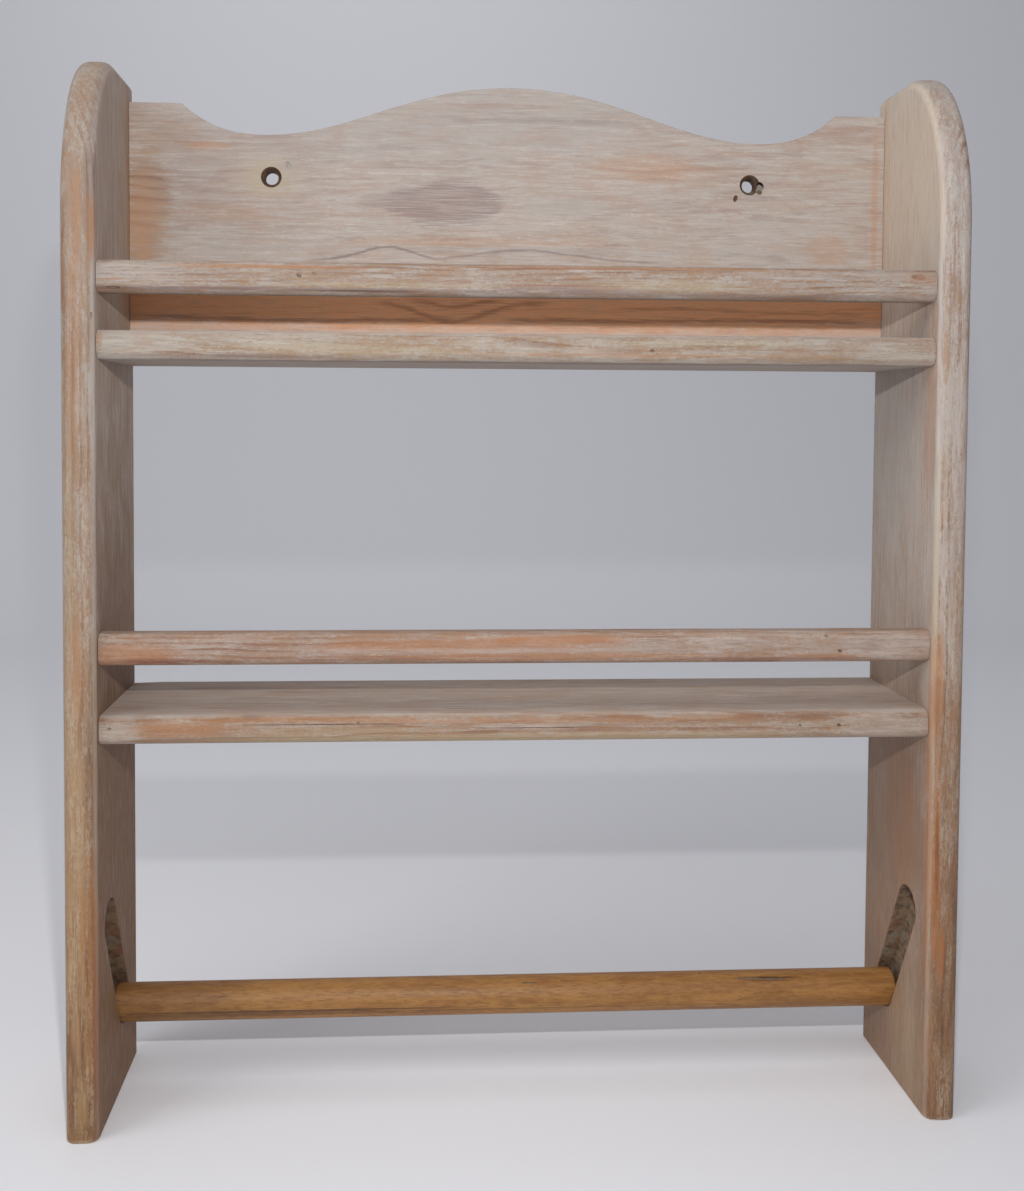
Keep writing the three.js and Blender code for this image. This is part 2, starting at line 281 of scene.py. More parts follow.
# axes: which way the grain runs, across it and through the board. wide: the axis its wide faces look along.
# coat: how thickly it is limed. low: how much less so near the feet. front: its marks' place and reach in Y.
# a mark is its kind, its place in X and Z, its half sizes in X and Z, and its strength
# an inner mark also has a place and a half size in Y. a knot: X from and to, Z, half height, strength
# a wave: kind, X from and to, Z, X and width of its bump, rise, half thickness, strength
boardLooks = {
    "leftPanel": {
        "axes": "ZYX", "pith": (0.11, -0.13), "lean": 0.01, "seed": 2.3, "coat": 0.62, "low": 0.24,
        "lines": 0.45, "wide": 0, "front": (-0.0475, 0.011),
        "grime": (0.88, 0.87, 0.85, 1), "warmth": (1.08, 0.86, 0.58, 1),
        "marks": [
            ("orange", -0.233, 0.498, 0.0024, 0.022, 0.7), ("brown", -0.2322, 0.536, 0.0008, 0.022, 0.7),
            ("orange", -0.24, 0.505, 0.0026, 0.034, 0.4), ("orange", -0.242, 0.44, 0.004, 0.07, 0.3),
            ("chalk", -0.243, 0.578, 0.009, 0.03, 0.25), ("orange", -0.2345, 0.105, 0.0026, 0.07, 0.4),
            ("cream", -0.244, 0.17, 0.006, 0.14, 0.42),
            ("red", -0.2332, 0.06, 0.0014, 0.07, 0.6), ("yellow", -0.2405, 0.02, 0.0024, 0.02, 0.5),
            ("orange", -0.2395, 0.12, 0.0018, 0.02, 0.5), ("chalk", -0.241, 0.0, 0.02, 0.0022, 0.5),
            ("orange", -0.241, 0.262, 0.003, 0.04, 0.4), ("mauve", -0.236, 0.215, 0.002, 0.03, 0.4),
            ("yellow", -0.245, 0.33, 0.002, 0.08, 0.4), ("mauve", -0.235, 0.54, 0.003, 0.05, 0.25),
        ],
        "innerMarks": [
            ("aged", -0.232, 0.0, 0.12, (0.003, 0.1, 0.27), 0.95),
            ("pale", -0.2325, -0.0445, 0.3, (0.0015, 0.0024, 0.4), 0.4),
            ("orange", -0.232, 0.036, 0.545, (0.01, 0.004, 0.07), 0.6),
            ("mauve", -0.232, -0.02, 0.53, (0.01, 0.03, 0.06), 0.25),
            ("orange", -0.232, 0.03, 0.467, (0.01, 0.012, 0.016), 0.45),
        ],
    },
    "rightPanel": {
        "axes": "ZYX", "pith": (0.13, 0.1), "lean": -0.01, "seed": 7.9, "coat": 0.8, "low": 0.5,
        "lines": 0.35, "wide": 0, "front": (-0.0475, 0.011),
        "grime": (0.98, 0.99, 1.0, 1), "warmth": (0.88, 0.69, 0.5, 1),
        "marks": [
            ("chalk", 0.24, 0.575, 0.014, 0.05, 0.45), ("mauve", 0.241, 0.57, 0.006, 0.04, 0.3),
            ("chalk", 0.241, 0.35, 0.012, 0.08, 0.3), ("chalk", 0.238, 0.285, 0.004, 0.04, 0.4),
            ("rust", 0.234, 0.243, 0.0022, 0.018, 0.6), ("orange", 0.2352, 0.14, 0.0024, 0.06, 0.8),
            ("rust", 0.2356, 0.15, 0.0012, 0.036, 0.65), ("orange", 0.234, 0.25, 0.0034, 0.03, 0.6),
            ("orange", 0.239, 0.096, 0.0018, 0.02, 0.9), ("orange", 0.2322, 0.17, 0.0009, 0.13, 0.6),
            ("red", 0.2385, 0.48, 0.0009, 0.04, 0.45), ("yellow", 0.2326, 0.3, 0.0012, 0.08, 0.5),
            ("red", 0.244, 0.25, 0.0016, 0.034, 0.25), ("brown", 0.2405, 0.046, 0.001, 0.018, 0.5),
            ("chalk", 0.241, 0.0, 0.02, 0.002, 0.5), ("red", 0.234, 0.024, 0.003, 0.03, 0.3),
        ],
        "innerMarks": [
            ("pink", 0.232, 0.0, 0.11, (0.01, 0.05, 0.12), 0.35),
            ("orange", 0.232, -0.012, 0.15, (0.01, 0.016, 0.06), 0.4),
            ("yellow", 0.232, -0.02, 0.03, (0.01, 0.03, 0.045), 0.35),
            ("pale", 0.232, -0.022, 0.065, (0.01, 0.01, 0.06), 0.25),
            ("pale", 0.2325, -0.0445, 0.28, (0.0015, 0.0024, 0.4), 0.5),
            # the pale mark between the lower shelf and the lower rail is chalk plus painted light: the lit
            # patch between the shelf's and the rail's shadows
            ("pale", 0.232, -0.038, 0.25, (0.01, 0.01, 0.018), 0.5),
            ("orange", 0.232, 0.01, 0.17, (0.01, 0.006, 0.05), 0.35),
            ("red", 0.232, 0.0375, 0.545, (0.01, 0.0022, 0.075), 0.8),
            ("orange", 0.232, 0.035, 0.545, (0.01, 0.006, 0.075), 0.6),
            ("grey", 0.232, 0.02, 0.38, (0.01, 0.04, 0.06), 0.3),
            # the cream mark lightens the top of the right inner face: limed wood plus painted light where the
            # lamp falls strongest
            ("cream", 0.232, 0.004, 0.555, (0.0026, 0.08, 0.085), 0.8),
            ("pale", 0.232, 0.0, 0.325, (0.0026, 0.07, 0.09), 0.35),
            ("aged", 0.232, 0.01, 0.17, (0.0026, 0.06, 0.06), 0.35),
            ("orange", 0.232, -0.035, 0.4, (0.01, 0.008, 0.06), 0.35),
        ],
    },
    "topShelf": {
        "axes": "XYZ", "pith": (0.052, 0.375), "lean": 0.02, "seed": 4.1, "coat": 0.74, "low": 0.0,
        "lines": 0.4, "wide": 2, "front": (-0.041, 0.016),
        "grime": (0.86, 0.84, 0.79, 1),
        "marks": [
            ("chalk", -0.214, 0.437, 0.024, 0.01, 0.45), ("yellow", -0.1, 0.4355, 0.06, 0.0035, 0.45),
            # the brown mark at 0.429 m runs along the front of the shelf's underside: painted shade under the
            # shelf
            ("mauve", -0.15, 0.4315, 0.07, 0.001, 0.5), ("brown", 0.0, 0.429, 0.3, 0.0007, 0.5),
            ("orange", 0.06, 0.4335, 0.09, 0.0011, 0.45),
            ("orange", -0.23, 0.44, 0.002, 0.005, 0.5),
            ("red", 0.15, 0.437, 0.07, 0.0006, 0.4), ("chalk", 0.205, 0.437, 0.024, 0.006, 0.3),
            ("yellow", 0.1, 0.44, 0.06, 0.002, 0.3),
        ],
    },
    "lowerShelf": {
        "axes": "XYZ", "pith": (0.046, 0.16), "lean": -0.015, "seed": 5.7, "coat": 0.55, "low": 0.0,
        "lines": 0.6, "wide": 2, "front": (-0.041, 0.016),
        "grime": (0.88, 0.81, 0.74, 1),
        "marks": [
            ("chalk", -0.221, 0.2265, 0.014, 0.01, 0.6), ("orange", -0.185, 0.2272, 0.034, 0.0048, 0.65),
            ("mauve", -0.1492, 0.2325, 0.005, 0.0013, 0.9),
            ("brown", -0.107, 0.229, 0.055, 0.0004, 0.9),
            ("brown", -0.13, 0.2219, 0.05, 0.0004, 0.8),
            ("yellow", -0.08, 0.22, 0.11, 0.0034, 0.7),
            ("yellow", -0.1, 0.2255, 0.06, 0.0018, 0.4),
            ("orange", -0.13, 0.2315, 0.08, 0.0016, 0.5),
            ("brown", 0.01, 0.2262, 0.04, 0.00045, 0.9), ("chalk", 0.205, 0.227, 0.03, 0.01, 0.45),
            ("red", 0.06, 0.224, 0.11, 0.0007, 0.2), ("orange", 0.0, 0.23, 0.13, 0.0014, 0.4),
            ("yellow", 0.06, 0.2202, 0.11, 0.0032, 0.7), ("chalk", 0.012, 0.228, 0.036, 0.003, 0.5),
            ("orange", 0.0, 0.2176, 0.05, 0.0009, 0.6),
        ],
    },
    "topRail": {
        "axes": "XYZ", "pith": (-0.09, 0.4), "lean": 0.01, "seed": 1.3, "coat": 0.64, "low": 0.0,
        "lines": 0.6, "wide": None, "front": (-0.041, 0.03),
        "grime": (0.84, 0.82, 0.8, 1),
        "marks": [
            ("chalk", -0.216, 0.4765, 0.034, 0.0065, 0.5),
            ("orange", -0.14, 0.4798, 0.06, 0.0014, 0.65),
            ("orange", 0.06, 0.4813, 0.11, 0.0009, 0.65), ("red", 0.03, 0.4806, 0.09, 0.00035, 0.7),
            ("mauve", -0.12, 0.4678, 0.14, 0.0013, 0.7), ("mauve", 0.1, 0.467, 0.13, 0.001, 0.55),
            ("mauve", 0.045, 0.4692, 0.062, 0.0016, 0.6),
            ("red", 0.03, 0.4712, 0.07, 0.0005, 0.5),
            ("brown", -0.09, 0.4672, 0.036, 0.0006, 0.7), ("yellow", -0.08, 0.4702, 0.07, 0.0018, 0.4),
            ("yellow", 0.08, 0.4715, 0.045, 0.004, 0.5), ("chalk", 0.204, 0.48, 0.026, 0.003, 0.5),
            ("red", 0.2215, 0.4785, 0.004, 0.002, 0.7), ("orange", 0.222, 0.477, 0.01, 0.004, 0.4),
            ("brown", -0.223, 0.4675, 0.012, 0.0008, 0.6), ("orange", -0.223, 0.4722, 0.01, 0.001, 0.5),
        ],
    },
    "lowerRail": {
        "axes": "XYZ", "pith": (-0.08, 0.2), "lean": -0.01, "seed": 9.2, "coat": 0.57, "low": 0.0,
        "lines": 0.55, "wide": None, "front": (-0.041, 0.03),
        "grime": (0.88, 0.79, 0.74, 1),
        "marks": [
            ("orange", -0.212, 0.269, 0.026, 0.006, 0.6), ("red", -0.198, 0.2645, 0.024, 0.0018, 0.85),
            ("red", -0.168, 0.2642, 0.016, 0.0013, 0.65), ("chalk", -0.15, 0.2725, 0.07, 0.005, 0.3),
            ("orange", -0.04, 0.2725, 0.09, 0.004, 0.6), ("red", -0.06, 0.2665, 0.09, 0.0006, 0.55),
            ("orange", 0.02, 0.266, 0.1, 0.0022, 0.5), ("orange", 0.02, 0.2755, 0.045, 0.0025, 0.7),
            ("pale", -0.04, 0.2695, 0.12, 0.0016, 0.4), ("red", 0.14, 0.264, 0.065, 0.0013, 0.6),
            ("orange", 0.17, 0.2655, 0.03, 0.0013, 0.5), ("chalk", 0.21, 0.27, 0.034, 0.009, 0.6),
            ("mauve", 0.198, 0.27, 0.008, 0.0025, 0.4), ("chalk", 0.08, 0.2725, 0.07, 0.005, 0.25),
        ],
    },
    "backBoard": {
        "axes": "XZY", "pith": (0.503, 0.098), "lean": 0.025, "seed": 6.4, "coat": 0.78, "low": 0.0,
        "lines": 0.35, "wide": 1, "front": (0.0385, 0.0062),
        "grime": (0.95, 0.93, 0.9, 1),
        "marks": [
            ("bare", -0.2225, 0.522, 0.016, 0.038, 0.55), ("orange", -0.2255, 0.515, 0.01, 0.03, 0.35),
            # the band between the top shelf and the top rail is bare wood; its amber and red marks also paint
            # the warm bounced light in the rail's shadow and the lit strip just above the shelf
            ("bare", -0.213, 0.57, 0.03, 0.014, 0.3), ("bare", 0.0, 0.4665, 0.5, 0.0125, 0.8),
            ("amberPaintedLight", 0.0, 0.467, 0.5, 0.012, 0.75), ("red", 0.0, 0.469, 0.5, 0.0095, 0.12),
            ("amberPaintedLight", 0.0, 0.454, 0.5, 0.005, 0.35), ("yellow", -0.15, 0.5435, 0.01, 0.012, 0.35),
            ("mauve", -0.055, 0.53, 0.06, 0.016, 0.15),
            ("grey", -0.06, 0.59, 0.2, 0.045, 0.4), ("mauve", -0.165, 0.545, 0.06, 0.045, 0.2),
            ("orange", 0.085, 0.552, 0.042, 0.01, 0.32),
            ("orange", -0.185, 0.562, 0.014, 0.003, 0.45), ("red", 0.208, 0.576, 0.022, 0.006, 0.25),
            ("red", 0.183, 0.58, 0.014, 0.003, 0.35), ("orange", 0.198, 0.504, 0.014, 0.012, 0.32),
            ("orange", 0.2262, 0.53, 0.0022, 0.06, 0.4),
            ("yellow", -0.15, 0.543, 0.024, 0.016, 0.35),
            ("orange", -0.03, 0.506, 0.08, 0.003, 0.22),
            ("orange", -0.175, 0.523, 0.03, 0.005, 0.25),
            ("mauve", 0.02, 0.58, 0.07, 0.002, 0.35), ("red", -0.01, 0.589, 0.035, 0.002, 0.25),
            ("grey", 0.0, 0.501, 0.24, 0.0024, 0.25), ("mauve", -0.17, 0.547, 0.012, 0.001, 0.5),
            ("grey", -0.1366, 0.5508, 0.0036, 0.0036, 0.5),
            ("mauve", 0.12, 0.574, 0.04, 0.002, 0.35), ("grey", 0.03, 0.53, 0.03, 0.008, 0.25),
        ],
        "knots": [(-0.118, -0.002, 0.53, 0.014, 0.95)],
        "waves": [
            ("plum", -0.13, -0.036, 0.4945, -0.076, 0.022, 0.008, 0.0013, 0.65),
            ("plum", -0.052, 0.1, 0.4945, 0.01, 0.045, 0.007, 0.0011, 0.5),
            ("rust", -0.09, 0.03, 0.4695, -0.036, 0.028, -0.012, 0.0026, 0.55),
            ("rust", -0.07, 0.0, 0.4705, -0.036, 0.016, -0.0045, 0.0026, 0.55),
            ("rust", -0.01, 0.228, 0.4585, 0.15, 0.06, 0.0015, 0.002, 0.55),
            ("rust", -0.228, -0.04, 0.459, -0.13, 0.06, -0.0015, 0.002, 0.5),
            ("rust", 0.06, 0.228, 0.4665, 0.19, 0.05, -0.002, 0.0018, 0.35),
        ],
    },
}


# noise drawn out along the grain, as its sizes along and across, seed step, detail, roughness and twist
pineNoises = {
    "wander": (0.13, 0.045, 0, 2.0, 0.55, 0.0), "bold": (0.12, 0.01, 3, 2.0, 0.55, 0.0),
    "brush": (0.026, 0.0019, 5, 5.0, 0.68, 0.6), "fine": (0.015, 0.0007, 7, 3.0, 0.62, 0.3),
    "fibre": (0.008, 0.0004, 9, 2.0, 0.6, 0.0), "patch": (0.03, 0.013, 13, 4.0, 0.6, 0.5),
    "flake": (0.0034, 0.0015, 17, 5.0, 0.78, 0.9), "tone": (0.04, 0.0055, 21, 4.0, 0.65, 0.5),
    "haze": (0.03, 0.011, 25, 5.0, 0.66, 0.8), "thin": (0.022, 0.0006, 27, 2.0, 0.5, 0.3),
    "wash": (0.07, 0.014, 31, 3.0, 0.6, 0.6),
}
# how far each noise pushes the lime thicker or thinner: everywhere, on noses and low down
limeSwings = {"brush": 0.55, "patch": 0.5, "fine": 0.4, "flake": 0.15, "wash": 0.6}
noseSwings = {"flake": 2.4, "fine": 1.2, "patch": 0.6, "wash": 1.1}
lowSwings = {"fine": 1.3, "flake": 0.9}
# and how far it frays the rim of a mark
rimSwings = {"brush": 0.7, "flake": 0.6, "patch": 0.5}
limedPine = {
    "ringGap": 0.0031, "ringWander": 0.011, "lateFrom": 0.3, "lateTo": 0.86, "lowHeight": 0.5,
    "noseFrom": 0.55, "noseTo": 0.95, "thinnest": 0.05, "thickest": 0.9, "mostCover": 0.92,
    "roughness": 0.55, "limeRoughness": 0.3, "specular": 0.35, "bump": 0.6, "bumpDepth": 0.00035,
}


def swings(tree, noise, amounts):
    return total(tree, *[swing(tree, noise[name], amount) for name, amount in amounts.items()])


def yearRings(tree, noise, along, across, through, look):
    # the dark late wood of rings about a pith that leans and wanders
    pithAcross = calc(tree, "MULTIPLY_ADD", along, look["lean"], look["pith"][0])
    sideways = calc(tree, "POWER", calc(tree, "SUBTRACT", across, pithAcross), 2.0)
    deep = calc(tree, "POWER", calc(tree, "SUBTRACT", through, look["pith"][1]), 2.0)
    radius = calc(tree, "SQRT", total(tree, sideways, deep))
    radius = total(tree, radius, swing(tree, noise["wander"], limedPine["ringWander"]))
    inRing = calc(tree, "FRACT", calc(tree, "DIVIDE", radius, limedPine["ringGap"]))
    rise = smooth(tree, inRing, limedPine["lateFrom"], limedPine["lateTo"])
    late = times(tree, rise, inverse(tree, smooth(tree, inRing, limedPine["lateTo"], 1.0)))
    bold = smooth(tree, noise["bold"], 0.38, 0.66)
    return times(tree, late, calc(tree, "MULTIPLY_ADD", bold, 0.8, 0.2))


def knotMask(tree, noise, parts, knot):
    # an eye shape, pointed where it starts and round where it ends, in ragged layers
    fromX, toX, z, half, strength = knot
    share = smooth(tree, parts[0], fromX, toX)
    bulge = times(tree, share, calc(tree, "SQRT", inverse(tree, calc(tree, "POWER", share, 6.0))))
    centreZ = total(tree, swing(tree, noise["patch"], 0.006), z)
    away = calc(tree, "ABSOLUTE", calc(tree, "SUBTRACT", parts[2], centreZ))
    ratio = calc(tree, "DIVIDE", away, calc(tree, "MULTIPLY_ADD", bulge, half / 0.69, 0.0002))
    ratio = total(tree, ratio, swing(tree, noise["fine"], 1.0), swing(tree, noise["brush"], 1.1))
    inside = inverse(tree, smooth(tree, ratio, 0.55, 1.25))
    inside = times(tree, inside, smooth(tree, bulge, 0.02, 0.3))
    rim = times(tree, smooth(tree, ratio, 0.4, 0.9), 0.3)
    layers = total(tree, 0.2, rim, times(tree, smooth(tree, noise["thin"], 0.42, 0.6), 0.55))
    return times(tree, times(tree, inside, layers), strength)


def waveMask(tree, noise, parts, wave):
    # a single grain line that rises over a bump and fades out over its last 20 mm
    fromX, toX, z, bumpX, bumpWide, rise, half, strength = wave
    reach = calc(tree, "DIVIDE", calc(tree, "SUBTRACT", parts[0], bumpX), bumpWide)
    squared = calc(tree, "POWER", calc(tree, "ABSOLUTE", reach), 2.0)
    bell = calc(tree, "EXPONENT", times(tree, squared, -1.0))
    lineZ = total(tree, calc(tree, "MULTIPLY_ADD", bell, rise, z), swing(tree, noise["patch"], 0.004))
    away = calc(tree, "ABSOLUTE", calc(tree, "SUBTRACT", parts[2], lineZ))
    away = total(tree, away, swing(tree, noise["fine"], half * 2))
    fadeIn = smooth(tree, parts[0], fromX, fromX + 0.02)
    fadeOut = inverse(tree, smooth(tree, parts[0], toX - 0.02, toX))
    line = times(tree, inverse(tree, smooth(tree, away, 0.0, half)), times(tree, fadeIn, fadeOut))
    return times(tree, line, strength)


def makeLimedPine(name):
    look = boardLooks[name]
    finish, tree = startFinish("limedPine_" + name)
    shader = tree.nodes["Principled BSDF"]
    place = addNode(tree, "ShaderNodeTexCoord", {}).outputs["Object"]
    normal = addNode(tree, "ShaderNodeTexCoord", {}).outputs["Normal"]
    parts = addNode(tree, "ShaderNodeSeparateXYZ", {0: place}).outputs
    turned = addNode(tree, "ShaderNodeSeparateXYZ", {0: normal}).outputs
    along, across, through = (parts["XYZ".index(axis)] for axis in look["axes"])
    grain = addNode(tree, "ShaderNodeCombineXYZ", {0: along, 1: across, 2: through}).outputs[0]
    noise = {}
    for layer, (sizeAlong, sizeAcross, step, detail, rough, twist) in pineNoises.items():
        noise[layer] = streaks(tree, grain, sizeAlong, sizeAcross, look["seed"] + step, detail, rough, twist)
    brush, fine, flake, tone = noise["brush"], noise["fine"], noise["flake"], noise["tone"]

    # no rings on the end grain, and noses are rubbed through more than the wide faces
    towardsEnd = calc(tree, "ABSOLUTE", turned["XYZ".index(look["axes"][0])])
    late = yearRings(tree, noise, along, across, through, look)
    late = times(tree, late, inverse(tree, smooth(tree, towardsEnd, 0.25, 0.75)))
    nose = 1.0
    if look["wide"] is not None:
        towardsWide = calc(tree, "ABSOLUTE", turned[look["wide"]])
        nose = inverse(tree, smooth(tree, towardsWide, limedPine["noseFrom"], limedPine["noseTo"]))

    # how old and brown the wood is: more so low down, where it is also less limed
    lowZ = total(tree, parts[2], swing(tree, noise["patch"], 0.16))
    lowDown = inverse(tree, smooth(tree, lowZ, 0.0, limedPine["lowHeight"]))
    wood = blend(tree, late, pineColours["early"], pineColours["late"])
    warm = total(tree, times(tree, noise["wash"], 0.6), times(tree, tone, 0.4))
    wood = blend(tree, times(tree, smooth(tree, warm, 0.44, 0.6), 0.8), wood, pineColours["tan"])
    if look["low"]:
        aged = smooth(tree, total(tree, brush, swing(tree, fine, 0.8)), 0.25, 0.7)
        wood = blend(tree, times(tree, lowDown, aged), wood, pineColours["aged"])
    wood = blend(tree, times(tree, smooth(tree, fine, 0.46, 0.68), 0.5), wood, pineColours["mauve"])

    # how thick the lime lies, with the chalky and the bare marks
    coat = total(tree, swings(tree, noise, limeSwings), look["coat"], times(tree, late, -0.1))
    rubbed = total(tree, swings(tree, noise, noseSwings), times(tree, late, -0.25), -0.05)
    coat = total(tree, coat, times(tree, rubbed, nose))
    if look["low"]:
        coat = total(tree, coat, times(tree, lowDown, -look["low"]))
        coat = total(tree, coat, times(tree, lowDown, swings(tree, noise, lowSwings)))
    ragged = swings(tree, noise, rimSwings)
    tints = []
    for kind, x, y, z, half, strength in look.get("innerMarks", []):
        mask = spotMask(tree, place, (x, y, z), half, ragged)
        tints.append((times(tree, mask, strength), pineColours[kind]))
    frontY, reachY = look["front"]
    for kind, x, z, halfX, halfZ, strength in look["marks"]:
        mask = spotMask(tree, place, (x, frontY, z), (halfX, reachY, halfZ), ragged)
        if kind in ("bare", "chalk"):
            coat = calc(tree, "MULTIPLY_ADD", mask, strength if kind == "chalk" else -strength, coat)
        else:
            tints.append((times(tree, mask, strength), pineColours[kind]))
    cover = smooth(tree, coat, limedPine["thinnest"], limedPine["thickest"])
    cover = times(tree, cover, limedPine["mostCover"])

    # the lime itself is brushed thin and thick, and takes the wood's colour where it is thin
    pinkish = times(tree, smooth(tree, noise["haze"], 0.42, 0.64), 0.7)
    lime = blend(tree, pinkish, pineColours["lime"], pineColours["pink"])
    lime = blend(tree, times(tree, smooth(tree, tone, 0.5, 0.7), 0.45), lime, pineColours["mauve"])
    chalky = total(tree, times(tree, brush, 0.6), times(tree, flake, 0.4), times(tree, nose, 0.03))
    lime = blend(tree, times(tree, smooth(tree, chalky, 0.47, 0.66), 0.65), lime, pineColours["pale"])
    colour = blend(tree, cover, wood, lime)
    lines = times(tree, smooth(tree, noise["thin"], 0.59, 0.73), look["lines"])
    colour = blend(tree, lines, colour, pineColours["mauve"])
    worn = smooth(tree, total(tree, times(tree, flake, 0.6), times(tree, fine, 0.4)), 0.53, 0.66)
    colour = blend(tree, times(tree, times(tree, worn, nose), 0.6), colour, pineColours["mauve"])
    streaky = smooth(tree, total(tree, fine, swing(tree, flake, 0.3)), 0.2, 0.58)
    for mask, tint in tints:
        colour = blend(tree, times(tree, mask, streaky), colour, tint)

    # knots and grain lines show on the front only
    behind = smooth(tree, parts[1], frontY + reachY / 3, frontY + reachY)
    frontOnly = inverse(tree, behind)
    for knot in look.get("knots", []):
        mask = times(tree, knotMask(tree, noise, parts, knot), frontOnly)
        colour = blend(tree, mask, colour, pineColours["mauve"])
    for kind, *wave in look.get("waves", []):
        mask = times(tree, waveMask(tree, noise, parts, wave), frontOnly)
        colour = blend(tree, mask, colour, pineColours[kind])

    # grime on the noses, and a warmer tone towards the feet
    colour = blend(tree, nose, colour, look["grime"], "MULTIPLY")
    if look["low"]:
        warmth = times(tree, lowDown, calc(tree, "MULTIPLY_ADD", nose, 0.35, 0.65))
        colour = blend(tree, warmth, colour, look["warmth"], "MULTIPLY")
    tree.links.new(colour, shader.inputs["Base Color"])

    roughness = calc(tree, "MULTIPLY_ADD", cover, limedPine["limeRoughness"], limedPine["roughness"])
    tree.links.new(roughness, shader.inputs["Roughness"])
    shader.inputs["Specular IOR Level"].default_value = limedPine["specular"]
    height = total(
        tree, times(tree, noise["fibre"], 0.8), times(tree, flake, 0.5), times(tree, cover, 0.6),
        times(tree, late, 0.3), times(tree, lines, -0.8), times(tree, times(tree, flake, nose), 1.6))
    bump = addNode(tree, "ShaderNodeBump", {
        "Height": height, "Strength": limedPine["bump"], "Distance": limedPine["bumpDepth"]})
    tree.links.new(bump.outputs[0], shader.inputs["Normal"])
    return finish


# Raw cut surfaces: slots, bores, screw holes, dents, chips and cracks

cutWood = {
    "pale": (0.28, 0.19, 0.115, 1), "dark": (0.12, 0.072, 0.044, 1), "smear": (0.3, 0.28, 0.225, 1),
    "red": (0.25, 0.115, 0.062, 1), "seed": 11.0,
    "holeShade": (0.5, 0.42, 0.38, 1), "leftTone": (0.72, 0.66, 0.6, 1),
}


def makeCutWood():
    finish, tree = startFinish("cutPine")
    shader = tree.nodes["Principled BSDF"]
    seed = cutWood["seed"]
    place = addNode(tree, "ShaderNodeTexCoord", {}).outputs["Object"]
    mottle = streaks(tree, place, 0.0055, 0.0048, seed, 5.0, 0.62, 0.2)
    fibre = streaks(tree, place, 0.0012, 0.0012, seed + 4, 3.0, 0.6)
    smear = streaks(tree, place, 0.008, 0.009, seed + 8, 4.0, 0.6, 0.2)
    warm = streaks(tree, place, 0.012, 0.011, seed + 12, 3.0)
    colour = blend(tree, smooth(tree, mottle, 0.34, 0.62), cutWood["dark"], cutWood["pale"])
    colour = blend(tree, times(tree, smooth(tree, warm, 0.52, 0.66), 0.7), colour, cutWood["red"])
    colour = blend(tree, times(tree, smooth(tree, smear, 0.5, 0.66), 0.55), colour, cutWood["smear"])
    colour = blend(tree, times(tree, smooth(tree, fibre, 0.52, 0.75), 0.35), colour, cutWood["dark"])
    # painted shade darkens the cut wood above 0.52 m, in the wall holes' bores, countersinks and chips; the
    # left panel's slot is browner than the right's
    parts = addNode(tree, "ShaderNodeSeparateXYZ", {0: place}).outputs
    colour = blend(tree, smooth(tree, parts[2], 0.5, 0.52), colour, cutWood["holeShade"], "MULTIPLY")
    colour = blend(tree, smooth(tree, parts[0], -0.22, -0.23), colour, cutWood["leftTone"], "MULTIPLY")
    tree.links.new(colour, shader.inputs["Base Color"])
    tree.links.new(calc(tree, "MULTIPLY_ADD", fibre, 0.2, 0.72), shader.inputs["Roughness"])
    bump = addNode(tree, "ShaderNodeBump", {
        "Height": total(tree, mottle, times(tree, fibre, 0.5)), "Strength": 0.5, "Distance": 0.0005})
    tree.links.new(bump.outputs[0], shader.inputs["Normal"])
    return finish


# Bare hardwood of the roll bar, and beech of the pins

hardwood = {
    "pale": (0.395, 0.19, 0.05, 1), "deep": (0.26, 0.108, 0.025, 1), "pore": (0.11, 0.045, 0.018, 1),
    "streak": (0.07, 0.03, 0.015, 1), "seed": 3.7,
}
# dark streaks along the bar, as X, Z, half length, half height and strength
barStreaks = [
    (-0.13, 0.0458, 0.12, 0.0006, 0.8), (-0.15, 0.044, 0.11, 0.0022, 0.45),
    (0.02, 0.044, 0.13, 0.0004, 0.5), (0.1535, 0.0574, 0.021, 0.0006, 0.8),
    (0.158, 0.0564, 0.016, 0.0004, 0.6), (0.0105, 0.0574, 0.0048, 0.00035, 0.8),
    (-0.215, 0.0465, 0.06, 0.03, 0.25),
]
beech = {
    "pale": (0.62, 0.42, 0.25, 1), "deep": (0.47, 0.28, 0.15, 1), "fleck": (0.33, 0.17, 0.08, 1),
    "seed": 8.8,
}


